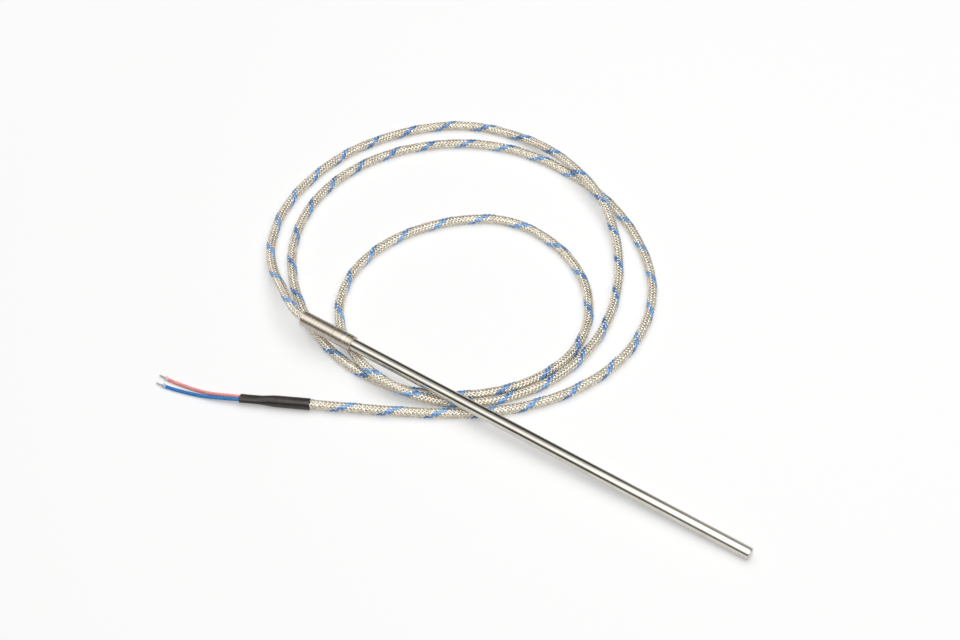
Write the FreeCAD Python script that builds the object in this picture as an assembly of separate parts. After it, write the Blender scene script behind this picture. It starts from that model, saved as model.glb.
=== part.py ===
import FreeCAD
import Part
import math
import os

os.makedirs("parts", exist_ok=True)
Vec = FreeCAD.Vector

# All lengths are in millimetres, all angles in degrees.

# Sheath: closed-end tube, necked down where it is brazed into the sleeve.
sheath_dia = 6.0
sheath_wall = 0.6
sheath_exposed = 216.0
sheath_end_wall = 1.2
sheath_edge_round = 1.2
neck_dia = 5.6
neck_len = 12.0
seat_gap = 0.02

# Transition sleeve: turned in two diameters, bored from both ends.
sleeve_len = 30.0
sleeve_dia = 8.0
sleeve_rear_dia = 7.7
sleeve_step_at = 19.3
sleeve_chamfer = 0.3
sleeve_bore = 5.0
shoulder_relief = 0.5

# Thermoelement legs and the stacked two-bore insulators.
leg_dia = 0.8
leg_pitch = 1.9
junction_dia = 3.0
junction_stand_off = 0.8
bead_count = 5
bead_dia = 4.4
bead_slack = 0.15
bead_gap = 0.5
bead_edge = 0.25
bead_front_room = 3.0
bead_rear_room = 1.0

# Splices and potting inside the sleeve.
splice_len = 5.0
splice_dia = 1.7
splice_clear = 0.03
splice_stop = 0.4
potting_recess = 0.4

# Lead cable and its cores.
cable_dia = 4.5
cable_in = 7.0
core_dia = 1.7
conductor_dia = 0.8
core_clear = 0.03
core_gap = 0.06
core_stub = 2.6
lead_out = 5.0
rest_gap = 1.05
cross_gap = 0.8

# Shrink sleeve over the end of the cable.
shrink_len = 34.0
shrink_wall = 0.6
shrink_fit = 0.05
shrink_large_len = 17.0
shrink_taper_len = 7.0
shrink_overlap = 12.0
shrink_oval_fit = 0.12
floor_gap = 0.05

# Stripped tails.
strip_run = 9.0
corner_share = 0.45

# Where the tail strand passes under the sheath, measured along X from the sleeve mouth.
support_offset = 96.5

# Hand-chosen corners of the coiled cable: X and Y from the sleeve mouth, and the lift
# over the floor, where 1 is the height needed to lie over another strand.
coil_corners = [
    (-19, 10, 1.4), (-34.5, 20.5, 0.65), (-50, 35, 0.12), (-63, 62, 0), (-66, 93.5, 0),
    (-60, 125.5, 0), (-42.5, 155, 0), (-19.5, 175.5, 0), (10.5, 183, 0), (41.5, 176.5, 1),
    (76.5, 161, 1), (102, 135, 0), (118.5, 103.5, 0), (125, 71.5, 0), (120.5, 40, 0),
    (104.5, 13.5, 0), (82, -2.5, 0), (60.5, -9.5, 1), (43.5, -7.5, 1.15), (28, 1, 0.2),
    (11, 12.5, 0), (-2, 32.5, 0), (-6, 58, 0), (1, 84.5, 0), (18.5, 108.5, 0), (41.5, 123.5, 0),
    (70, 122, 0), (96.5, 108.5, 0), (114.5, 84.5, 0), (119.5, 57, 0), (110.5, 30.5, 0),
    (93, 10.5, 0), (73.5, -1, 0), (55.5, -6.5, 0), (37, -7, 0), (17.5, -3.5, 0), (-2, 5.5, 0),
    (-23.5, 21, 0), (-42.5, 44, 0), (-53, 72, 0), (-53.5, 101.5, 0), (-42.5, 132, 0),
    (-19, 157.5, 0), (10, 171.5, 0), (40.5, 173.5, 0), (75, 166, 0), (104, 149.5, 0),
    (128.5, 124.5, 0), (140.5, 94.5, 0), (140.5, 63, 0), (128.5, 32.5, 0), (106.5, 6.5, 0),
    (78.5, -11.5, 0),
]
# Last two corners of the cable, level with the axis of the shrink sleeve.
tail_corners = [(50, -27), (20, -42)]

# Stripped tails seen from the end of the cable: distance along its axis, distance to the
# side, and whether the point lies on the floor.
positive_tail = [(29, 0, False), (41, -2.3, True), (56, -6.9, True)]
negative_tail = [(29, 0, False), (41, -1.6, True), (56, -4.5, True)]
positive_tip_turn = -8.0
negative_tip_turn = -8.0

# Derived sizes.
sheath_r = sheath_dia / 2
cable_r = cable_dia / 2
core_r = core_dia / 2
conductor_r = conductor_dia / 2
sheath_bore_r = sheath_r - sheath_wall
probe_len = sleeve_len + sheath_exposed
support_from_tip = probe_len - support_offset
tilt = math.asin((cable_dia + rest_gap) / (support_from_tip - sheath_edge_round))
tip_axis_z = ((sheath_r - sheath_edge_round) * math.cos(tilt)
              + sheath_edge_round * (1 - math.sin(tilt)))
mouth = Vec(-probe_len / 2 * math.cos(tilt), 0, tip_axis_z + probe_len * math.sin(tilt))
axis = Vec(math.cos(tilt), 0, -math.sin(tilt))
shrink_r = cable_r + shrink_fit + shrink_wall
shrink_axis_z = shrink_r + floor_gap
oval_half_wide = core_dia + core_gap / 2 + shrink_oval_fit
oval_half_high = core_r + 2 * shrink_oval_fit
core_offset = core_r + core_gap / 2
probe_place = FreeCAD.Placement(mouth, FreeCAD.Rotation(Vec(0, 1, 0), math.degrees(tilt)))


def revolve(profile):
    """Solid turned about the local X axis from (x, r) corners."""
    corners = [Vec(x, 0, r) for x, r in profile]
    face = Part.Face(Part.makePolygon(corners + corners[:1]))
    return face.revolve(Vec(0, 0, 0), Vec(1, 0, 0), 360)


def rod(start, length, radius, y=0.0):
    return Part.makeCylinder(radius, length, Vec(start, y, 0), Vec(1, 0, 0))


def line_arc_wire(points, label):
    """Straight runs joined by tangent arcs, with the radii printed."""
    runs = [b - a for a, b in zip(points, points[1:])]
    ways = [Vec(run).normalize() for run in runs]
    edges = []
    radii = []
    here = points[0]
    for number, corner in enumerate(points[1:-1]):
        turn = ways[number].getAngle(ways[number + 1])
        cut = corner_share * min(runs[number].Length, runs[number + 1].Length)
        into = corner - ways[number] * cut
        out = corner + ways[number + 1] * cut
        radius = cut / math.tan(turn / 2)
        inward = ((into + out) * 0.5 - corner).normalize()
        middle = corner + inward * (radius / math.cos(turn / 2) - radius)
        edges.append(Part.LineSegment(here, into).toShape())
        edges.append(Part.Arc(into, middle, out).toShape())
        radii.append(radius)
        here = out
    edges.append(Part.LineSegment(here, points[-1]).toShape())
    wire = Part.Wire(edges)
    print(label, "radii", " ".join("%.0f" % r for r in radii), "length %.1f" % wire.Length)
    return wire


def tube(wire, radius, label):
    start = wire.OrderedEdges[0]
    ring = Part.makeCircle(radius, start.valueAt(start.FirstParameter),
                           start.tangentAt(start.FirstParameter))
    solid = wire.makePipeShell([Part.Wire([ring])], True, False)
    share = solid.Volume / (math.pi * radius ** 2 * wire.Length)
    print(label, "volume / (section x length) %.4f" % share)
    return solid


def save(shape, node):
    solids = shape.Solids
    result = solids[0] if len(solids) == 1 else shape
    print("%-26s solids %d valid %s volume %.2f" % (node, len(solids), shape.isValid(), shape.Volume))
    result.exportStep("parts/%s.step" % node)


def save_probe(shape, node):
    shape.Placement = probe_place.multiply(shape.Placement)
    save(shape, node)


# Sheath, built along local X with the sleeve mouth at zero.
sheath_back = sleeve_len - neck_len
inner_end = probe_len - sheath_end_wall
sheath_body = rod(sleeve_len, sheath_exposed, sheath_r)
end_edges = [e for e in sheath_body.Edges if abs(e.CenterOfMass.x - probe_len) < 0.01 and e.Closed]
sheath_body = sheath_body.makeFillet(sheath_edge_round, end_edges)
sheath = sheath_body.fuse(rod(sheath_back, neck_len, neck_dia / 2))
sheath = sheath.cut(rod(sheath_back, inner_end - sheath_back, sheath_bore_r)).removeSplitter()
save_probe(sheath, "sheath_tube")

# Sleeve.
front_bore_r = neck_dia / 2 + seat_gap
front_bore_at = sheath_back - shoulder_relief
sleeve_r = sleeve_dia / 2
rear_r = sleeve_rear_dia / 2
sleeve = revolve([
    (0, sleeve_bore / 2), (0, rear_r - sleeve_chamfer), (sleeve_chamfer, rear_r),
    (sleeve_step_at, rear_r), (sleeve_step_at + sleeve_r - rear_r, sleeve_r),
    (sleeve_len - sleeve_chamfer, sleeve_r), (sleeve_len, sleeve_r - sleeve_chamfer),
    (sleeve_len, front_bore_r), (front_bore_at, front_bore_r), (front_bore_at, sleeve_bore / 2),
])
save_probe(sleeve, "transition_sleeve")

# Hot junction: a weld bead standing clear of the end wall.
junction_at = inner_end - junction_stand_off - junction_dia / 2
junction = Part.makeSphere(junction_dia / 2, Vec(junction_at, 0, 0))

# Legs run from inside the bead back into the splices.
leg_side = leg_pitch / 2
splice_at = cable_in + core_stub
leg_start = splice_at + splice_len / 2 + splice_stop / 2
legs = []
for side in (1, -1):
    leg = rod(leg_start, junction_at - leg_start, leg_dia / 2, side * leg_side)
    legs.append(leg.cut(junction))
save_probe(junction, "hot_junction")
save_probe(legs[0], "positive_leg")
save_probe(legs[1], "negative_leg")

# Insulators, equal lengths filling the sheath between the junction and the sleeve.
beads_from = sheath_back + bead_rear_room
beads_to = junction_at - junction_dia / 2 - bead_front_room
bead_len = (beads_to - beads_from - (bead_count - 1) * bead_gap) / bead_count
for number in range(bead_count):
    start = beads_from + number * (bead_len + bead_gap)
    bead = rod(start, bead_len, bead_dia / 2)
    rims = [e for e in bead.Edges if e.Closed]
    bead = bead.makeChamfer(bead_edge, rims)
    for side in (1, -1):
        bead = bead.cut(rod(start, bead_len, leg_dia / 2 + bead_slack, side * leg_side))
    save_probe(bead, "ceramic_insulator_%d" % (number + 1))

# Front cores, their conductors and the crimped splices.
fill = []
conductor_end = splice_at + splice_len / 2 - splice_stop / 2
for side, name in ((1, "positive"), (-1, "negative")):
    y = side * leg_side
    conductor = rod(cable_in, conductor_end - cable_in, conductor_r, y)
    core = rod(cable_in, core_stub, core_r, y)
    fill.append(core)
    core = core.cut(rod(cable_in, core_stub, conductor_r + core_clear, y))
    splice = rod(splice_at, splice_len, splice_dia / 2, y)
    fill.append(splice)
    splice = splice.cut(rod(splice_at, splice_len, leg_dia / 2 + splice_clear, y))
    fill.append(rod(splice_at, sheath_back - splice_at + 1, leg_dia / 2, y))
    save_probe(core, "%s_core_front" % name)
    save_probe(conductor, "%s_conductor_front" % name)
    save_probe(splice, "%s_splice" % name)

# Potting fills the sleeve bore around the splices and the end of the cable.
potting = rod(potting_recess, front_bore_at - potting_recess, sleeve_bore / 2 - seat_gap)
potting = potting.cut(rod(0, cable_in, cable_r))
for piece in fill:
    potting = potting.cut(piece)
save_probe(potting, "potting_plug")

# Cable: along the sleeve axis, round the coil, into the shrink sleeve.
points = [mouth + axis * cable_in, mouth - axis * lead_out]
for x, y, lift in coil_corners:
    points.append(Vec(mouth.x + x, y, cable_r + floor_gap + lift * (cable_dia + cross_gap)))
for x, y in tail_corners:
    points.append(Vec(mouth.x + x, y, shrink_axis_z))
cable_wire = line_arc_wire(points, "cable")
save(tube(cable_wire, cable_r, "cable"), "lead_cable")

# Frame at the end of the cable: along its axis, to the side, and up.
end = points[-1]
along = (points[-1] - points[-2]).normalize()
up = Vec(0, 0, 1)
across = up.cross(along)
end_place = FreeCAD.Placement(end, FreeCAD.Rotation(along, across, up, "XYZ"))


def section(x, half_wide, half_high):
    if abs(half_wide - half_high) < 1e-6:
        ring = Part.Circle(Vec(x, 0, 0), Vec(1, 0, 0), half_wide)
        ring.XAxis = Vec(0, 1, 0)
        return Part.Wire([ring.toShape()])
    ring = Part.Ellipse(Vec(x, half_wide, 0), Vec(x, 0, half_high), Vec(x, 0, 0))
    return Part.Wire([ring.toShape()])


def stepped(offset, front, back):
    """Round part, taper and oval part of the shrink sleeve, grown by offset."""
    round_r = cable_r + shrink_fit + offset
    wide = oval_half_wide + offset
    high = oval_half_high + offset
    step = front + shrink_large_len
    thin = step + shrink_taper_len
    body = rod(front, shrink_large_len, round_r)
    taper = Part.makeLoft([section(step, round_r, round_r), section(thin, wide, high)], True, True)
    oval = Part.Face(section(thin, wide, high)).extrude(Vec(back - thin, 0, 0))
    return body.fuse(taper).fuse(oval)


shrink_front = -shrink_overlap
shrink_back = shrink_front + shrink_len
shrink = stepped(shrink_wall, shrink_front, shrink_back).cut(stepped(0, shrink_front, shrink_back))
shrink.Placement = end_place.multiply(shrink.Placement)
save(shrink.removeSplitter(), "heat_shrink_sleeve")

# Stripped tails: insulated cores side by side, bare at the tips.
for name, side, tail, tip_turn in (("positive", -1, positive_tail, positive_tip_turn),
                                   ("negative", 1, negative_tail, negative_tip_turn)):
    first = end + across * (side * core_offset)
    path = [first]
    for x, y, on_floor in tail:
        spot = first + along * x + across * y
        if on_floor:
            spot.z = core_r + floor_gap
        path.append(spot)
    heading = path[-1] - path[-2]
    heading.z = 0
    bend = FreeCAD.Rotation(up, tip_turn)
    path.append(path[-1] + bend.multVec(heading.normalize()) * strip_run)
    wire = line_arc_wire(path, name + " tail")
    edges = wire.OrderedEdges
    covered = Part.Wire(edges[:-1])
    conductor = tube(wire, conductor_r, name + " conductor")
    jacket = tube(covered, core_r, name + " core")
    jacket = jacket.cut(tube(covered, conductor_r + core_clear, name + " bore"))
    save(jacket, "%s_core_tail" % name)
    save(conductor, "%s_conductor_tail" % name)
    bare = edges[-1]
    print(name, "bare end from", tuple(bare.Vertexes[0].Point), "to", tuple(bare.Vertexes[-1].Point))

print("tilt %.3f mouth %s axis %s" % (math.degrees(tilt), tuple(mouth), tuple(axis)))
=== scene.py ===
import bpy
import bmesh
import math
import random
from mathutils import Matrix, Vector, noise


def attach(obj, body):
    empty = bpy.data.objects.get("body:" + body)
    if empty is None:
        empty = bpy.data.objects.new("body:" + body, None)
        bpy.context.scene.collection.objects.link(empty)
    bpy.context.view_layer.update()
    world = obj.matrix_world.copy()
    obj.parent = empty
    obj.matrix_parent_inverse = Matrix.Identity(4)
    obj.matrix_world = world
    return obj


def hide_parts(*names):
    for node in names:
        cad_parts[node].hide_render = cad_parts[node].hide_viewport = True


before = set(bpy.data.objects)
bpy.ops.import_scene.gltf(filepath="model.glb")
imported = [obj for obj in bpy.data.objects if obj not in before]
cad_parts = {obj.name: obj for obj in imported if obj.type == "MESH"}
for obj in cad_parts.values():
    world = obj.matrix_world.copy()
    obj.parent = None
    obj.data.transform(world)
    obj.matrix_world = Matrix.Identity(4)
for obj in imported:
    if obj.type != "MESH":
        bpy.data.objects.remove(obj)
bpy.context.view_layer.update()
mm = 0.001
print("frame loaded:", len(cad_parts), "nodes")

# camera as the photograph was taken, looking down over the tip of the probe
cameraSet = {
    "lens": 63.64,
    "sensor": 36.0,
    "place": (0.25955, -0.42929, 0.62037),
    "target": (-0.05581, 0.05551, 0.00017),
}


def addCamera(settings):
    data = bpy.data.cameras.new("camera")
    data.lens = settings["lens"]
    data.sensor_width = settings["sensor"]
    camera = bpy.data.objects.new("camera", data)
    bpy.context.scene.collection.objects.link(camera)
    place = Vector(settings["place"])
    camera.location = place
    camera.rotation_mode = "QUATERNION"
    camera.rotation_quaternion = (Vector(settings["target"]) - place).to_track_quat("-Z", "Y")
    bpy.context.scene.camera = camera


addCamera(cameraSet)
print("camera set")


# small helpers for pieces and finishes

def showPiece(name, data, finish, replaced=()):
    piece = bpy.data.objects.new(name, data)
    bpy.context.scene.collection.objects.link(piece)
    data.materials.clear()
    data.materials.append(finish)
    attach(piece, "root")
    if replaced:
        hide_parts(*replaced)
    return piece


def evaluatedMesh(thing):
    bpy.context.view_layer.update()
    depsgraph = bpy.context.evaluated_depsgraph_get()
    return bpy.data.meshes.new_from_object(thing.evaluated_get(depsgraph))


def newFinish(name, colour, rough, metal=0.0):
    finish = bpy.data.materials.new(name)
    finish.use_nodes = True
    shader = finish.node_tree.nodes["Principled BSDF"]
    shader.inputs["Base Color"].default_value = (*colour, 1)
    shader.inputs["Roughness"].default_value = rough
    shader.inputs["Metallic"].default_value = metal
    return finish, finish.node_tree, shader


def addNode(tree, kind, values=None, **props):
    node = tree.nodes.new(kind)
    for key, value in props.items():
        setattr(node, key, value)
    for key, value in (values or {}).items():
        node.inputs[key].default_value = value
    return node


def objectPoints(tree, stretch=(1, 1, 1), place=(0, 0, 0), turn=(0, 0, 0)):
    # object coordinates, taken back to a piece's own axis and then stretched
    source = addNode(tree, "ShaderNodeTexCoord")
    back = addNode(tree, "ShaderNodeMapping", {"Location": place, "Rotation": turn},
                   vector_type="TEXTURE")
    spread = addNode(tree, "ShaderNodeMapping", {"Scale": stretch})
    tree.links.new(source.outputs["Object"], back.inputs["Vector"])
    tree.links.new(back.outputs["Vector"], spread.inputs["Vector"])
    return spread.outputs["Vector"]


def addNoise(tree, points, scale, detail=3.0):
    cloud = addNode(tree, "ShaderNodeTexNoise",
                    {"Scale": scale, "Detail": detail, "Roughness": 0.55})
    tree.links.new(points, cloud.inputs["Vector"])
    return cloud.outputs["Fac"]


def addRamp(tree, amount, stops):
    ramp = addNode(tree, "ShaderNodeValToRGB")
    band = ramp.color_ramp
    while len(band.elements) < len(stops):
        band.elements.new(0.5)
    for element, (place, colour) in zip(band.elements, stops):
        element.position = place
        element.color = (*colour, 1)
    tree.links.new(amount, ramp.inputs["Fac"])
    return ramp.outputs["Color"]


def addRange(tree, amount, low, high, fromLow=0.3, fromHigh=0.7):
    spread = addNode(tree, "ShaderNodeMapRange", {
        "From Min": fromLow, "From Max": fromHigh, "To Min": low, "To Max": high})
    tree.links.new(amount, spread.inputs["Value"])
    return spread.outputs["Result"]


def addBump(tree, shader, height, depth, strength):
    bump = addNode(tree, "ShaderNodeBump", {"Strength": strength, "Distance": depth * mm})
    tree.links.new(height, bump.inputs["Height"])
    tree.links.new(bump.outputs["Normal"], shader.inputs["Normal"])


def grainFinish(name, look):
    # colour, gloss and relief each follow a noise of their own, given as scale and detail
    finish, tree, shader = newFinish(name, look["high"], look["rough"][-1], look.get("metal", 0.0))
    points = objectPoints(tree, look.get("stretch", (1, 1, 1)), **look.get("axis", {}))
    clouds = objectPoints(tree) if look.get("evenColour") else points
    stops = zip(look.get("stops", (0.3, 0.7)), (look["low"], look["high"]))
    tree.links.new(addRamp(tree, addNoise(tree, clouds, *look["colourGrain"]), list(stops)),
                   shader.inputs["Base Color"])
    if "glossGrain" in look:
        tree.links.new(addRange(tree, addNoise(tree, points, *look["glossGrain"]), *look["rough"]),
                       shader.inputs["Roughness"])
    if "bumpGrain" in look:
        addBump(tree, shader, addNoise(tree, points, *look["bumpGrain"]), *look["bump"])
    return finish


def paint(finish, *nodes):
    for name in nodes:
        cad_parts[name].material_slots[0].material = finish


# the probe's own axis: the sleeve mouth, and the tilt with which it lies over the lead
probeSet = {
    "mouth": Vector((-122.91383, 0.0, 12.16017)) * mm,
    "tilt": math.radians(2.14475),
}
probeSet["axis"] = Vector((math.cos(probeSet["tilt"]), 0.0, -math.sin(probeSet["tilt"])))
probePlace = (Matrix.Translation(probeSet["mouth"])
              @ Matrix.Rotation(probeSet["tilt"], 4, "Y"))
probePoints = {"place": probeSet["mouth"], "turn": (0, probeSet["tilt"], 0)}


# lead: route with the same corners as the solid one

leadSet = {
    "inside": 7.0,          # mm of lead in the sleeve
    "out": 5.0,             # mm straight out of it
    "floor": 2.30,          # height of the middle on the floor, mm
    "hump": 5.3,            # lift over another strand, mm
    "tailHeight": 2.95,
    "diameter": 4.5,
    "coreRadius": 1.93,     # under the braid
    "steps": 12,
    "corners": [            # mm from under the mouth, and share of the hump
        (-19, 10, 1.4), (-34.5, 20.5, 0.65), (-50, 35, 0.12), (-63, 62, 0), (-66, 93.5, 0),
        (-60, 125.5, 0), (-42.5, 155, 0), (-19.5, 175.5, 0), (10.5, 183, 0), (41.5, 176.5, 1),
        (76.5, 161, 1), (102, 135, 0), (118.5, 103.5, 0), (125, 71.5, 0), (120.5, 40, 0),
        (104.5, 13.5, 0), (82, -2.5, 0), (60.5, -9.5, 1), (43.5, -7.5, 1.15), (28, 1, 0.2),
        (11, 12.5, 0), (-2, 32.5, 0), (-6, 58, 0), (1, 84.5, 0), (18.5, 108.5, 0),
        (41.5, 123.5, 0), (70, 122, 0), (96.5, 108.5, 0), (114.5, 84.5, 0), (119.5, 57, 0),
        (110.5, 30.5, 0), (93, 10.5, 0), (73.5, -1, 0), (55.5, -6.5, 0), (37, -7, 0),
        (17.5, -3.5, 0), (-2, 5.5, 0), (-23.5, 21, 0), (-42.5, 44, 0), (-53, 72, 0),
        (-53.5, 101.5, 0), (-42.5, 132, 0), (-19, 157.5, 0), (10, 171.5, 0), (40.5, 173.5, 0),
        (75, 166, 0), (104, 149.5, 0), (128.5, 124.5, 0), (140.5, 94.5, 0), (140.5, 63, 0),
        (128.5, 32.5, 0), (106.5, 6.5, 0), (78.5, -11.5, 0),
    ],
    "tailCorners": [(50, -27), (20, -42)],
    "twist": [               # turn of the braid about the lead at each point of the route, degrees
        -58, -58, -51, -32, 0, 8, -21, -58, -103, -119, -113, -90, -88, -114, -125, -119, -111, -109, -105,
        -97, -88, -48, 8, 55, 56, 48, 24, 19, 43, 66, 88, 121, 143, 143, 142, 146, 156, 164,
        171, 180, 196, 203, 171, 126, 92, 69, 48, 37, 23, -3, -11, -11, -23, -27, -29, -29, -29],
}


def leadRoute(settings):
    mouth, axis = probeSet["mouth"], probeSet["axis"]
    points = [mouth + axis * settings["inside"] * mm, mouth - axis * settings["out"] * mm]
    for x, y, lift in settings["corners"]:
        height = settings["floor"] + lift * settings["hump"]
        points.append(Vector((mouth.x + x * mm, y * mm, height * mm)))
    for x, y in settings["tailCorners"]:
        points.append(Vector((mouth.x + x * mm, y * mm, settings["tailHeight"] * mm)))
    return points


def routeCurve(name, points, steps, radius=0.0, sides=4):
    curve = bpy.data.curves.new(name, "CURVE")
    curve.dimensions = "3D"
    curve.twist_mode = "Z_UP"
    curve.use_deform_bounds = False
    spline = curve.splines.new("NURBS")
    spline.points.add(len(points) - 1)
    for knot, spot in zip(spline.points, points):
        knot.co = (*spot, 1.0)
    spline.order_u = 3
    spline.use_endpoint_u = True
    spline.use_smooth = True
    curve.resolution_u = steps
    spline.resolution_u = steps
    curve.bevel_depth = radius
    curve.bevel_resolution = sides
    curve.use_fill_caps = radius > 0
    return curve


def guideLine(name, points, steps, twist=()):
    curve = routeCurve(name, points, steps)
    for knot, degrees in zip(curve.splines[0].points, twist):
        knot.tilt = math.radians(degrees)
    guide = bpy.data.objects.new(name, curve)
    bpy.context.scene.collection.objects.link(guide)
    mesh = evaluatedMesh(guide)
    line = [v.co.copy() for v in mesh.vertices]
    bpy.data.meshes.remove(mesh)
    length = sum((b - a).length for a, b in zip(line, line[1:]))
    return guide, length


# braid: flat strips of wire, each seen where it passes over two others

leadBraid = {
    "carriers": 12,          # each way round
    "tracers": 2,            # neighbours of blue yarn among the left-handed ones
    "pitch": 22.37,          # length of one turn of a carrier
    "radius": 2.25,
    "stripLength": 2.5,
    "stripWidth": 0.97,
    "stripThick": 0.28,
    "shoulder": 0.72,        # where the strip starts to dip, of its half length
    "shoulderDip": 0.04,
    "tuck": 0.44,            # dip at its ends
    "endWidth": 0.85,
    "toneSeed": 11,
}
# the blue yarn is bulkier and stands a little proud
tracerBraid = {**leadBraid, "radius": 2.35, "stripLength": 3.7, "stripWidth": 1.42, "stripThick": 0.34}
# the core under the braid: its dark brown is painted shade for the gaps between the strips, with a random grain
# on top
underBraidShadeLook = {
    "low": (0.32, 0.26, 0.19), "high": (0.47, 0.40, 0.30), "rough": (0.8,),
    "colourGrain": (700,), "bumpGrain": (2400,), "bump": (0.08, 1.0),
}
wireLook = {"low": (0.56, 0.505, 0.39), "high": (0.96, 0.895, 0.785), "metal": 0.92, "rough": 0.25, "wires": 5}
tracerLook = {"low": (0.008, 0.08, 0.32), "high": (0.32, 0.57, 0.90), "metal": 0.55, "rough": 0.32, "wires": 7}
# what all braided coverings share
braidLook = {
    "gloss": 0.9, "glossTurn": 0.25,   # the gloss spreads across the wires
    "patches": 900, "toneReach": (0.3, 1.7), "roughReach": (-0.08, 0.1),
    "wander": 0.6, "wireBump": (0.06, 0.2),
}


def stripMesh(settings):
    long, wide, thick = (settings[key] * mm for key in ("stripLength", "stripWidth", "stripThick"))
    bm = bmesh.new()
    bmesh.ops.create_cube(bm, size=1.0, matrix=Matrix.Translation((0, 0, -thick / 2))
                          @ Matrix.Diagonal((long, wide, thick, 1)))
    lengthwise = [e for e in bm.edges if abs(e.verts[0].co.x - e.verts[1].co.x) > long / 2]
    bmesh.ops.subdivide_edges(bm, edges=lengthwise, cuts=2)
    for vert in bm.verts:
        if abs(vert.co.x) < long * 0.4:   # the two rows between the ends
            vert.co.x = math.copysign(settings["shoulder"] * long / 2, vert.co.x)
            vert.co.z -= settings["shoulderDip"] * mm
        else:
            vert.co.z -= settings["tuck"] * mm
            vert.co.y *= settings["endWidth"]
    layer = bm.loops.layers.uv.new("strip")
    for face in bm.faces:
        face.smooth = True
        for loop in face.loops:
            loop[layer].uv = (loop.vert.co.x / long + 0.5, loop.vert.co.y / wide + 0.5)
    mesh = bpy.data.meshes.new("strip")
    bm.to_mesh(mesh)
    bm.free()
    return mesh


def braidPitch(name, settings, hand, carriers, pitch, strip):
    # one turn of the braid along x; hand is 1 for a right-handed lay and -1 for a left-handed one
    count, radius = settings["carriers"], settings["radius"] * mm
    slope = math.atan2(2 * math.pi * radius, pitch)
    draw = random.Random(settings["toneSeed"] + hand)
    bm = bmesh.new()
    tone = bm.faces.layers.float.new("tone")
    for carrier in carriers:
        first = -2 * carrier if hand > 0 else 2 * carrier + 1
        for crossing in range(2 * count):
            if (crossing - first) % 4:   # over two and under two, so one strip in four crossings
                continue
            x = pitch * (crossing + 0.5) / (2 * count)
            turn = 2 * math.pi * (carrier / count + hand * x / pitch)
            place = (Matrix.Translation((x, 0, 0)) @ Matrix.Rotation(turn, 4, "X")
                     @ Matrix.Translation((0, 0, radius)) @ Matrix.Rotation(-hand * slope, 4, "Z"))
            verts, faces = len(bm.verts), len(bm.faces)
            bm.from_mesh(strip)
            bm.verts.ensure_lookup_table()
            bm.faces.ensure_lookup_table()
            bmesh.ops.transform(bm, matrix=place, verts=bm.verts[verts:])
            shade = draw.random()
            for face in bm.faces[faces:]:
                face[tone] = shade
    mesh = bpy.data.meshes.new(name)
    bm.to_mesh(mesh)
    bm.free()
    return mesh


def layAlong(name, pitchMesh, pitch, repeats, guide):
    # the turn is repeated along x, then bent along the route
    straight = bpy.data.objects.new(name + "Straight", pitchMesh)
    bpy.context.scene.collection.objects.link(straight)
    rows = straight.modifiers.new("rows", "ARRAY")
    rows.count = repeats
    rows.use_relative_offset = False
    rows.use_constant_offset = True
    rows.constant_offset_displace = (pitch, 0, 0)
    bend = straight.modifiers.new("bend", "CURVE")
    bend.object = guide
    bend.deform_axis = "POS_X"
    mesh = evaluatedMesh(straight)
    mesh.name = name
    bpy.data.objects.remove(straight)
    return mesh


def braidFinish(name, look):
    # colour by strip and by fine patches, with wires or fibres lengthwise in each strip
    finish, tree, shader = newFinish(name, look["high"], look["rough"], look["metal"])
    shader.inputs["Anisotropic"].default_value = braidLook["gloss"]
    shader.inputs["Anisotropic Rotation"].default_value = braidLook["glossTurn"]
    along = addNode(tree, "ShaderNodeTangent", direction_type="UV_MAP", uv_map="strip")
    tree.links.new(along.outputs["Tangent"], shader.inputs["Tangent"])
    points = objectPoints(tree)
    tone = addNode(tree, "ShaderNodeAttribute", attribute_name="tone")
    patch = addNoise(tree, points, braidLook["patches"])
    both = addNode(tree, "ShaderNodeMath", operation="ADD")
    tree.links.new(tone.outputs["Fac"], both.inputs[0])
    tree.links.new(patch, both.inputs[1])
    share = addRange(tree, both.outputs["Value"], 0, 1, *braidLook["toneReach"])
    tree.links.new(addRamp(tree, share, [(0, look["low"]), (1, look["high"])]), shader.inputs["Base Color"])
    tree.links.new(addRange(tree, patch, *(look["rough"] + step for step in braidLook["roughReach"])),
                   shader.inputs["Roughness"])
    strip = addNode(tree, "ShaderNodeUVMap", uv_map="strip")
    lines = addNode(tree, "ShaderNodeTexWave", {
        "Scale": look["wires"] * math.pi / 10, "Distortion": braidLook["wander"], "Detail": 1.0},
        bands_direction="Y")
    tree.links.new(strip.outputs["UV"], lines.inputs["Vector"])
    addBump(tree, shader, lines.outputs["Fac"], *braidLook["wireBump"])
    return finish


leadPoints = leadRoute(leadSet)
leadGuide, leadLength = guideLine("leadGuide", leadPoints, leadSet["steps"], leadSet["twist"])
print("lead line: %.1f mm" % (leadLength / mm))

wireFinish = braidFinish("lead braid wire", wireLook)
tracerFinish = braidFinish("lead tracer yarn", tracerLook)
leadCore = showPiece("lead_core", routeCurve("lead_core", leadPoints, leadSet["steps"],
                                             leadSet["coreRadius"] * mm),
                     grainFinish("lead under braid painted gap shade", underBraidShadeLook), ["lead_cable"])
leadPitch = leadBraid["pitch"] * mm
leadTurns = math.floor(leadLength / leadPitch)
allCarriers = range(leadBraid["carriers"])
for layName, hand, carriers, shape, finish in (
        ("lead_braid_right", 1, allCarriers, leadBraid, wireFinish),
        ("lead_braid_left", -1, allCarriers[leadBraid["tracers"]:], leadBraid, wireFinish),
        ("lead_tracer", -1, allCarriers[:leadBraid["tracers"]], tracerBraid, tracerFinish)):
    turnMesh = braidPitch(layName + "Turn", shape, hand, carriers, leadPitch, stripMesh(shape))
    layMesh = layAlong(layName, turnMesh, leadPitch, leadTurns, leadGuide)
    showPiece(layName, layMesh, finish)
    print(layName, len(layMesh.polygons), "faces")
bpy.data.objects.remove(leadGuide)


# shrink sleeve over the end of the lead, drawn down to an oval round the two cores

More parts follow.
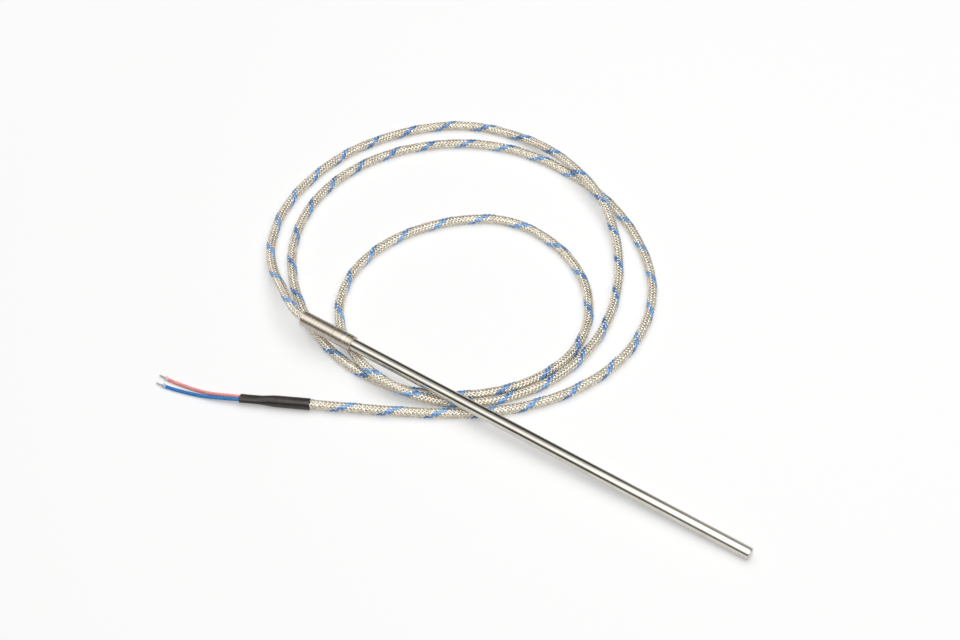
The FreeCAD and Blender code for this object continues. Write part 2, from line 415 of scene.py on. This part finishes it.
endSet = {
    "end": leadPoints[-1],
    "along": (leadPoints[-1] - leadPoints[-2]).normalized(),
}
endSet["across"] = Vector((0, 0, 1)).cross(endSet["along"])
endPlace = Matrix.Translation(endSet["end"]) @ Matrix((
    endSet["along"], endSet["across"], Vector((0, 0, 1)))).transposed().to_4x4()

shrinkSet = {
    "sides": 48,
    "wall": 0.6,
    "outer": [   # mm along the lead, half width, half height
        (-12.0, 2.72, 2.72), (-11.93, 2.84, 2.84), (-11.75, 2.9, 2.9), (-9, 2.89, 2.89),
        (-6, 2.9, 2.9), (-3, 2.88, 2.88), (0, 2.9, 2.9), (3, 2.88, 2.87), (5, 2.86, 2.82),
        (6.5, 2.8, 2.62), (8, 2.72, 2.34), (9.5, 2.62, 2.05), (11, 2.52, 1.83), (12.5, 2.46, 1.72),
        (15, 2.45, 1.69), (18, 2.45, 1.68), (21, 2.45, 1.69), (21.75, 2.45, 1.69),
        (21.93, 2.4, 1.64), (22.0, 2.3, 1.54)],
    "lumps": 0.05,
    "lumpScale": (0.3, 1.4, 1.4),
}
shrinkLook = {
    "low": (0.013, 0.0080, 0.0062), "high": (0.036, 0.023, 0.018), "stops": (0.3, 0.75), "rough": (0.2, 0.34),
    "colourGrain": (420, 5), "glossGrain": (600,), "bumpGrain": (1500, 4), "bump": (0.03, 0.6),
}


def shrinkMesh(settings):
    bm = bmesh.new()
    stations = list(settings["outer"])
    wall = settings["wall"]
    for x, wide, high in reversed(settings["outer"][2:-2:3]):   # back along the inside, with fewer rows
        stations.append((x, wide - wall, high - wall))
    turnUp = Matrix.Rotation(math.pi / 2, 4, "Y")
    bmesh.ops.create_circle(bm, segments=settings["sides"], radius=1.0, matrix=turnUp)
    ring = list(bm.edges)
    rings = []
    outward = len(settings["outer"])
    for number, (x, wide, high) in enumerate(stations):
        if number:
            made = bmesh.ops.extrude_edge_only(bm, edges=ring)["geom"]
            ring = [g for g in made if isinstance(g, bmesh.types.BMEdge)
                    and abs(g.verts[0].co.x - g.verts[1].co.x) < 1e-9
                    and all(v in made for v in g.verts)]
        verts = {v for e in ring for v in e.verts}
        for vert in verts:
            flat = Vector((0, vert.co.y, vert.co.z)).normalized()
            lump = 0.0
            if number < outward:
                lump = settings["lumps"] * noise.noise(
                    Vector((x, flat.y, flat.z)) * Vector(settings["lumpScale"]))
            vert.co = Vector((x, flat.y * (wide + lump), flat.z * (high + lump))) * mm
        rings.append(ring)
    bmesh.ops.bridge_loops(bm, edges=rings[0] + rings[-1])
    bmesh.ops.recalc_face_normals(bm, faces=bm.faces)
    for face in bm.faces:
        face.smooth = True
    bmesh.ops.transform(bm, matrix=endPlace, verts=bm.verts)
    mesh = bpy.data.meshes.new("shrink_sleeve")
    bm.to_mesh(mesh)
    bm.free()
    return mesh


shrinkPiece = showPiece("shrink_sleeve", shrinkMesh(shrinkSet), grainFinish("shrink sleeve black", shrinkLook),
                        ["heat_shrink_sleeve"])
print("shrink sleeve", len(shrinkPiece.data.polygons), "faces")


# stripped cores: glass-braided red and blue, bare at the tips

coreSets = {
    "red": {
        "node": "positive", "slot": "core_red", "wireSlot": "positive_metal", "side": -1,
        "spots": [(29, 0, 0), (41, -2.3, 1), (56, -6.9, 1)],
        "jacketEnd": (-160.530, -60.192, 0.9), "tip": (-165.478, -60.323, 0.9),
        "yarn": {"low": (0.95, 0.25, 0.24), "high": (1.0, 0.50, 0.47)},
        "fray": {"low": (0.94, 0.66, 0.63), "high": (0.98, 0.90, 0.88)},
    },
    "blue": {
        "node": "negative", "slot": "core_blue", "wireSlot": "negative_metal", "side": 1,
        "spots": [(29, 0, 0), (41, -1.6, 1), (56, -4.5, 1)],
        "jacketEnd": (-158.635, -64.343, 0.9), "tip": (-163.541, -65.000, 0.9),
        "yarn": {"low": (0.006, 0.165, 0.49), "high": (0.05, 0.32, 0.73)},
        "fray": {"low": (0.30, 0.53, 0.78), "high": (0.75, 0.86, 0.95)},
    },
}
coreShape = {
    "diameter": 1.7, "offset": 0.88, "floor": 0.9, "tubeRadius": 0.74, "wireRadius": 0.4, "steps": 16,
    "mouth": 22.0,           # mm from the end of the lead to the mouth of the shrink sleeve
}
coreBraid = {
    "carriers": 8, "repeats": 8, "radius": 0.85, "stripLength": 1.55, "stripWidth": 0.5,
    "stripThick": 0.1, "shoulder": 0.57, "shoulderDip": 0.035, "tuck": 0.2, "endWidth": 0.9,
    "toneSeed": 3,
}
# loose ends of yarn where the covering is cut back
fraySet = {
    "ends": 11, "sides": 6, "ring": 0.68, "back": 0.5, "length": (1.6, 2.7), "thick": 0.24, "tip": 0.09,
    "flare": (2, 20), "spread": (-0.3, 0.3), "floor": 0.06, "seed": 4,
}
yarnLook = {"metal": 0.0, "rough": 0.55, "wires": 6}
frayLook = {"rough": (0.6,), "colourGrain": (1500,), "bumpGrain": (5000,), "bump": (0.03, 0.5)}
bareLook = {
    "low": (0.26, 0.25, 0.23), "high": (0.50, 0.49, 0.46), "rough": (0.25, 0.5), "metal": 1.0,
    "colourGrain": (500,), "glossGrain": (1800,),
}


def frayMesh(name, end, tip, settings):
    draw = random.Random(settings["seed"])
    ring = Matrix.Translation((-settings["back"] * mm, 0, settings["ring"] * mm))
    place = Matrix.Translation(end) @ (tip - end).to_track_quat("X", "Z").to_matrix().to_4x4()
    bm = bmesh.new()
    for number in range(settings["ends"]):
        turn = 2 * math.pi * (number + draw.uniform(*settings["spread"])) / settings["ends"]
        lean = math.pi / 2 - math.radians(draw.uniform(*settings["flare"]))
        long = draw.uniform(*settings["length"]) * mm
        spot = (place @ Matrix.Rotation(turn, 4, "X") @ ring @ Matrix.Rotation(lean, 4, "Y")
                @ Matrix.Translation((0, 0, long / 2)))
        bmesh.ops.create_cone(bm, cap_ends=True, segments=settings["sides"], radius1=settings["thick"] * mm,
                              radius2=settings["tip"] * mm, depth=long, matrix=spot)
    for vert in bm.verts:
        vert.co.z = max(vert.co.z, settings["floor"] * mm)
    for face in bm.faces:
        face.smooth = True
    mesh = bpy.data.meshes.new(name)
    bm.to_mesh(mesh)
    bm.free()
    return mesh


for coreName, coreSet in coreSets.items():
    firstSpot = endSet["end"] + endSet["across"] * coreSet["side"] * coreShape["offset"] * mm
    corePoints = [firstSpot]
    for ahead, aside, onFloor in coreSet["spots"]:
        spot = firstSpot + endSet["along"] * ahead * mm + endSet["across"] * aside * mm
        if onFloor:
            spot.z = coreShape["floor"] * mm
        corePoints.append(spot)
    corePoints.append(Vector(coreSet["jacketEnd"]) * mm)
    coreGuide, coreLength = guideLine(coreName + "Guide", corePoints, coreShape["steps"])
    yarn = braidFinish(coreName + " core yarn", {**yarnLook, **coreSet["yarn"]})
    jacket = showPiece(coreName + "_core", routeCurve(coreName + "_core", corePoints, coreShape["steps"],
                                                      coreShape["tubeRadius"] * mm), yarn,
                       [coreSet["node"] + "_core_tail"])
    pitch = coreLength / coreBraid["repeats"]
    strip = stripMesh(coreBraid)
    for lay, hand in (("right", 1), ("left", -1)):
        coverName = "%s_core_yarn_%s" % (coreName, lay)
        turnMesh = braidPitch(coverName + "Turn", coreBraid, hand, range(coreBraid["carriers"]), pitch, strip)
        showPiece(coverName, layAlong(coverName, turnMesh, pitch, coreBraid["repeats"],
                                                    coreGuide), yarn)
    bpy.data.objects.remove(coreGuide)
    wireTip = Vector(coreSet["tip"]) * mm
    showPiece(
        coreName + "_core_fray", frayMesh(coreName + "_core_fray", corePoints[-1], wireTip, fraySet),
        grainFinish(coreName + " core fray", {**frayLook, **coreSet["fray"]}))
    wire = showPiece(coreName + "_wire", routeCurve(coreName + "_wire", [*corePoints, wireTip],
                                                    coreShape["steps"], coreShape["wireRadius"] * mm),
                     grainFinish(coreName + " bare wire", bareLook),
                     [coreSet["node"] + "_conductor_tail"])
    print(coreName, "core %.1f mm" % (coreLength / mm))


# turned sleeve: the lathe leaves fine rings, coarser in front of the step

sleeveSet = {
    "sides": 96,
    "profile": [   # mm from the mouth, radius
        (0, 2.5), (0, 3.55), (0.3, 3.85), (18.8, 3.85), (19.0, 3.62), (19.45, 3.62), (19.7, 4.0),
        (29.7, 4.0), (30, 3.7), (30, 2.82), (17.5, 2.82), (17.5, 2.5)],
    "rings": {3: (47, 0.02), 7: (23, 0.11)},   # rings cut into the runs to these corners, and depth
    "ringShare": (0.4, 1.0),                   # how much of that depth a ring gets
    "sharp": 25,
    "seed": 5,
}
sleeveLook = {
    "low": (0.45, 0.405, 0.34), "high": (0.60, 0.54, 0.46), "rough": (0.24, 0.35), "metal": 1.0,
    "colourGrain": (2600, 2), "glossGrain": (1700, 2), "bumpGrain": (4200, 2), "bump": (0.02, 0.5),
    "stretch": (1, 0.02, 0.02), "axis": probePoints,
}


def turnedMesh(name, settings):
    draw = random.Random(settings["seed"])
    bm = bmesh.new()
    corners = [bm.verts.new((x * mm, 0, r * mm)) for x, r in settings["profile"]]
    edges = [bm.edges.new(pair) for pair in zip(corners, corners[1:] + corners[:1])]
    for corner, (count, depth) in settings["rings"].items():
        cut = bmesh.ops.subdivide_edges(bm, edges=[edges[corner - 1]], cuts=count)
        inner = sorted((g for g in cut["geom_inner"] if isinstance(g, bmesh.types.BMVert)),
                       key=lambda v: v.co.x)
        for vert in inner[::2]:
            vert.co.z -= depth * mm * draw.uniform(*settings["ringShare"])
    bmesh.ops.spin(bm, geom=bm.verts[:] + bm.edges[:], cent=(0, 0, 0), axis=(1, 0, 0),
                   angle=2 * math.pi, steps=settings["sides"], use_merge=True)
    bmesh.ops.remove_doubles(bm, verts=bm.verts, dist=1e-7)
    bmesh.ops.recalc_face_normals(bm, faces=bm.faces)
    for face in bm.faces:
        face.smooth = True
    bmesh.ops.transform(bm, matrix=probePlace, verts=bm.verts)
    mesh = bpy.data.meshes.new(name)
    bm.to_mesh(mesh)
    bm.free()
    mesh.set_sharp_from_angle(angle=math.radians(settings["sharp"]))
    return mesh


turnedSleeve = showPiece("turned_sleeve", turnedMesh("turned_sleeve", sleeveSet),
                         grainFinish("turned steel", sleeveLook), ["transition_sleeve"])
print("turned sleeve", len(turnedSleeve.data.polygons), "faces")


# sheath: drawn and polished tube, the CAD shape with its own finish

sheathLook = {
    "low": (0.59, 0.56, 0.505), "high": (0.67, 0.64, 0.58), "rough": (0.09, 0.2), "metal": 1.0,
    "colourGrain": (140,), "glossGrain": (2200,), "bumpGrain": (3000,), "bump": (0.01, 0.25),
    "stretch": (0.02, 1, 1), "axis": probePoints, "evenColour": True,   # only gloss and relief are drawn out
}
paint(grainFinish("polished steel", sheathLook), "sheath_tube")


# pieces sealed inside the probe

innerSets = {
    "fired ceramic": {
        "nodes": ["ceramic_insulator_%d" % number for number in range(1, 6)], "grain": 900, "depth": 0.02,
        "low": (0.80, 0.77, 0.70), "high": (0.90, 0.88, 0.83), "gloss": 0.6},
    "welded bead": {
        "nodes": ["hot_junction"], "grain": 1500, "depth": 0.05,
        "low": (0.30, 0.29, 0.28), "high": (0.52, 0.51, 0.50), "gloss": 0.4, "metal": 1.0},
    "drawn wire positive": {
        "nodes": ["positive_leg", "positive_conductor_front"], "grain": 2000, "depth": 0.01,
        "low": (0.42, 0.41, 0.40), "high": (0.56, 0.55, 0.54), "gloss": 0.35, "metal": 1.0,
        "stretch": (0.03, 1, 1)},
    "drawn wire negative": {
        "nodes": ["negative_leg", "negative_conductor_front"], "grain": 2000, "depth": 0.01,
        "low": (0.50, 0.47, 0.42), "high": (0.64, 0.60, 0.55), "gloss": 0.35, "metal": 1.0,
        "stretch": (0.03, 1, 1)},
    "plated splice": {
        "nodes": ["positive_splice", "negative_splice"], "grain": 1500, "depth": 0.01,
        "low": (0.58, 0.57, 0.56), "high": (0.72, 0.71, 0.70), "gloss": 0.3, "metal": 1.0,
        "stretch": (0.2, 1, 1)},
    "cast resin": {
        "nodes": ["potting_plug"], "grain": 700, "depth": 0.04,
        "low": (0.08, 0.072, 0.065), "high": (0.15, 0.14, 0.125), "gloss": 0.5},
    "red core inside": {
        "nodes": ["positive_core_front"], "grain": 2400, "depth": 0.03,
        "low": (0.55, 0.09, 0.09), "high": (0.82, 0.22, 0.20), "gloss": 0.55},
    "blue core inside": {
        "nodes": ["negative_core_front"], "grain": 2400, "depth": 0.03,
        "low": (0.012, 0.12, 0.40), "high": (0.03, 0.22, 0.60), "gloss": 0.55},
}
innerShare = {"glossReach": 0.08, "detail": 4, "bumpStrength": 0.5}
for finishName, innerSet in innerSets.items():
    grain, gloss, reach = innerSet["grain"], innerSet["gloss"], innerShare["glossReach"]
    paint(grainFinish(finishName, {
        **innerSet, "axis": probePoints, "rough": (gloss - reach, gloss + reach),
        "colourGrain": (grain, innerShare["detail"]), "glossGrain": (grain * 2,), "bumpGrain": (grain * 4,),
        "bump": (innerSet["depth"], innerShare["bumpStrength"]),
    }), *innerSet["nodes"])
print("finishes on", len(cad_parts), "nodes")


# floor, a tent for the metal to show, a lamp and surroundings

stageSet = {
    "floorSide": 12.0,
    "floorColour": (0.985, 0.985, 0.981),
    "floorWhite": 0.32,       # share of plain white that the camera and the metal see
    "floorMiddle": (-0.05, 0.05, 0),
    "floorReach": (0.28, 0.7),     # between these distances from there it turns to plain white
    "tentRadius": 2.0,
    "tentLength": 7.0,
    "tentSteps": 36,
    "tentGlow": 1.6,
    "tentBands": [            # degrees from the horizon behind, over the top to the front, and share of the glow
        (0, 0.2), (18, 0.02), (42, 0.03), (62, 0.17), (85, 0.52), (105, 1.0), (120, 1.05),
        (132, 0.7), (142, 0.22), (151, 0.04), (170, 0.04), (180, 0.15)],
    "tentMiddle": 0.68,       # the bands lie this far to the left
    "tentReach": (0.28, 0.42),     # and fade into the sides between these distances
    "tentSides": [            # as the bands, further out
        (0, 0.36), (20, 0.36), (36, 0.36), (44, 0.08), (52, 0.11), (58, 0.28), (75, 1.3), (110, 1.75),
        (130, 1.4), (150, 0.3), (165, 0.08), (180, 0.08)],
    "tentFade": (0.9, 2.4, 0.7),   # the glow falls between these distances from the middle, to this share
    "lampPlace": (0.035, 0.16, 1.25),
    "lampAim": (-0.045, 0.045, 0.0),
    "lampSize": (2.6, 2.0),
    "lampPower": 27.6,
    "worldFill": 0.15,
}


def floorMaterial(settings):
    finish = bpy.data.materials.new("floor")
    finish.use_nodes = True
    tree = finish.node_tree
    tree.nodes.clear()
    out = addNode(tree, "ShaderNodeOutputMaterial")
    plain = addNode(tree, "ShaderNodeBsdfDiffuse", {"Color": (*settings["floorColour"], 1)})
    glow = addNode(tree, "ShaderNodeEmission", {"Strength": 1.0})
    mix = addNode(tree, "ShaderNodeMixShader")
    far = addNode(tree, "ShaderNodeVectorMath", operation="LENGTH")
    tree.links.new(objectPoints(tree, place=settings["floorMiddle"]), far.inputs[0])
    share = addNode(tree, "ShaderNodeMath", operation="MULTIPLY")
    tree.links.new(backgroundRays(tree), share.inputs[0])
    tree.links.new(addRange(tree, far.outputs["Value"], settings["floorWhite"], 1, *settings["floorReach"]),
                   share.inputs[1])
    tree.links.new(share.outputs["Value"], mix.inputs["Fac"])
    tree.links.new(plain.outputs["BSDF"], mix.inputs[1])
    tree.links.new(glow.outputs["Emission"], mix.inputs[2])
    tree.links.new(mix.outputs["Shader"], out.inputs["Surface"])
    return finish


def backgroundRays(tree):
    # 1 for what the camera, the metal and clear pieces see
    rays = addNode(tree, "ShaderNodeLightPath")
    seen = addNode(tree, "ShaderNodeMath", operation="MAXIMUM")
    every = addNode(tree, "ShaderNodeMath", operation="MAXIMUM")
    tree.links.new(rays.outputs["Is Camera Ray"], seen.inputs[0])
    tree.links.new(rays.outputs["Is Glossy Ray"], seen.inputs[1])
    tree.links.new(seen.outputs["Value"], every.inputs[0])
    tree.links.new(rays.outputs["Is Transmission Ray"], every.inputs[1])
    return every.outputs["Value"]


def tentMaterial(settings):
    # bright overhead and dark towards the horizon, by the angle round the x axis
    finish = bpy.data.materials.new("tent")
    finish.use_nodes = True
    tree = finish.node_tree
    tree.nodes.clear()
    out = addNode(tree, "ShaderNodeOutputMaterial")
    glow = addNode(tree, "ShaderNodeEmission")
    split = addNode(tree, "ShaderNodeSeparateXYZ")
    angle = addNode(tree, "ShaderNodeMath", operation="ARCTAN2")
    tree.links.new(objectPoints(tree), split.inputs["Vector"])
    tree.links.new(split.outputs["Z"], angle.inputs[0])
    tree.links.new(split.outputs["Y"], angle.inputs[1])
    share = addRange(tree, angle.outputs["Value"], 0, 1, 0, math.pi)
    middle, sides = (addRamp(tree, share, [(degrees / 180, (level,) * 3) for degrees, level in settings[key]])
                     for key in ("tentBands", "tentSides"))
    shift = addNode(tree, "ShaderNodeMath", {1: settings["tentMiddle"]}, operation="ADD")
    away = addNode(tree, "ShaderNodeMath", operation="ABSOLUTE")
    mix = addNode(tree, "ShaderNodeMix", data_type="RGBA")
    tree.links.new(split.outputs["X"], shift.inputs[0])
    tree.links.new(shift.outputs["Value"], away.inputs[0])
    tree.links.new(addRange(tree, away.outputs["Value"], 0, 1, *settings["tentReach"]), mix.inputs["Factor"])
    tree.links.new(middle, mix.inputs[6])   # 6, 7 and 2 are this node's colour sockets
    tree.links.new(sides, mix.inputs[7])
    tree.links.new(mix.outputs[2], glow.inputs["Color"])
    far = addNode(tree, "ShaderNodeMath", operation="ABSOLUTE")
    tree.links.new(split.outputs["X"], far.inputs[0])
    near, wide, least = settings["tentFade"]
    tree.links.new(addRange(tree, far.outputs["Value"], settings["tentGlow"], settings["tentGlow"] * least,
                            near, wide), glow.inputs["Strength"])
    tree.links.new(glow.outputs["Emission"], out.inputs["Surface"])
    return finish


def stagePiece(name, bm, finish):
    mesh = bpy.data.meshes.new(name)
    bm.to_mesh(mesh)
    bm.free()
    mesh.materials.append(finish)
    piece = bpy.data.objects.new(name, mesh)
    bpy.context.scene.collection.objects.link(piece)
    return piece


def addFloor(settings):
    bm = bmesh.new()
    bmesh.ops.create_grid(bm, x_segments=1, y_segments=1, size=settings["floorSide"] / 2)
    stagePiece("floor", bm, floorMaterial(settings))


def addTent(settings):
    bm = bmesh.new()
    side = settings["tentLength"] / 2
    ends = [bm.verts.new((x, settings["tentRadius"], 0)) for x in (-side, side)]
    rib = bm.edges.new(ends)
    bmesh.ops.spin(bm, geom=[*ends, rib], cent=(0, 0, 0), axis=(1, 0, 0), angle=math.pi,
                   steps=settings["tentSteps"])
    tent = stagePiece("tent", bm, tentMaterial(settings))
    tent.visible_camera = False
    tent.visible_diffuse = False
    tent.visible_shadow = False


def addLamp(settings):
    light = bpy.data.lights.new("softLamp", "AREA")
    light.shape = "RECTANGLE"
    light.size, light.size_y = settings["lampSize"]
    light.energy = settings["lampPower"]
    lamp = bpy.data.objects.new("softLamp", light)
    lamp.location = settings["lampPlace"]
    lamp.rotation_mode = "QUATERNION"
    lamp.rotation_quaternion = (Vector(settings["lampAim"]) - lamp.location).to_track_quat("-Z", "Y")
    lamp.visible_camera = False
    lamp.visible_glossy = False
    bpy.context.scene.collection.objects.link(lamp)


def addWorld(settings):
    # plain white where it is seen, and a weak fill for the rest
    world = bpy.data.worlds.new("studio")
    bpy.context.scene.world = world
    world.use_nodes = True
    tree = world.node_tree
    sky = tree.nodes["Background"]
    sky.inputs["Color"].default_value = (1, 1, 1, 1)
    tree.links.new(addRange(tree, backgroundRays(tree), settings["worldFill"], 1, 0, 1), sky.inputs["Strength"])


addFloor(stageSet)
addTent(stageSet)
addLamp(stageSet)
addWorld(stageSet)
bpy.context.scene.view_settings.view_transform = "Standard"
print("stage and lamp set")
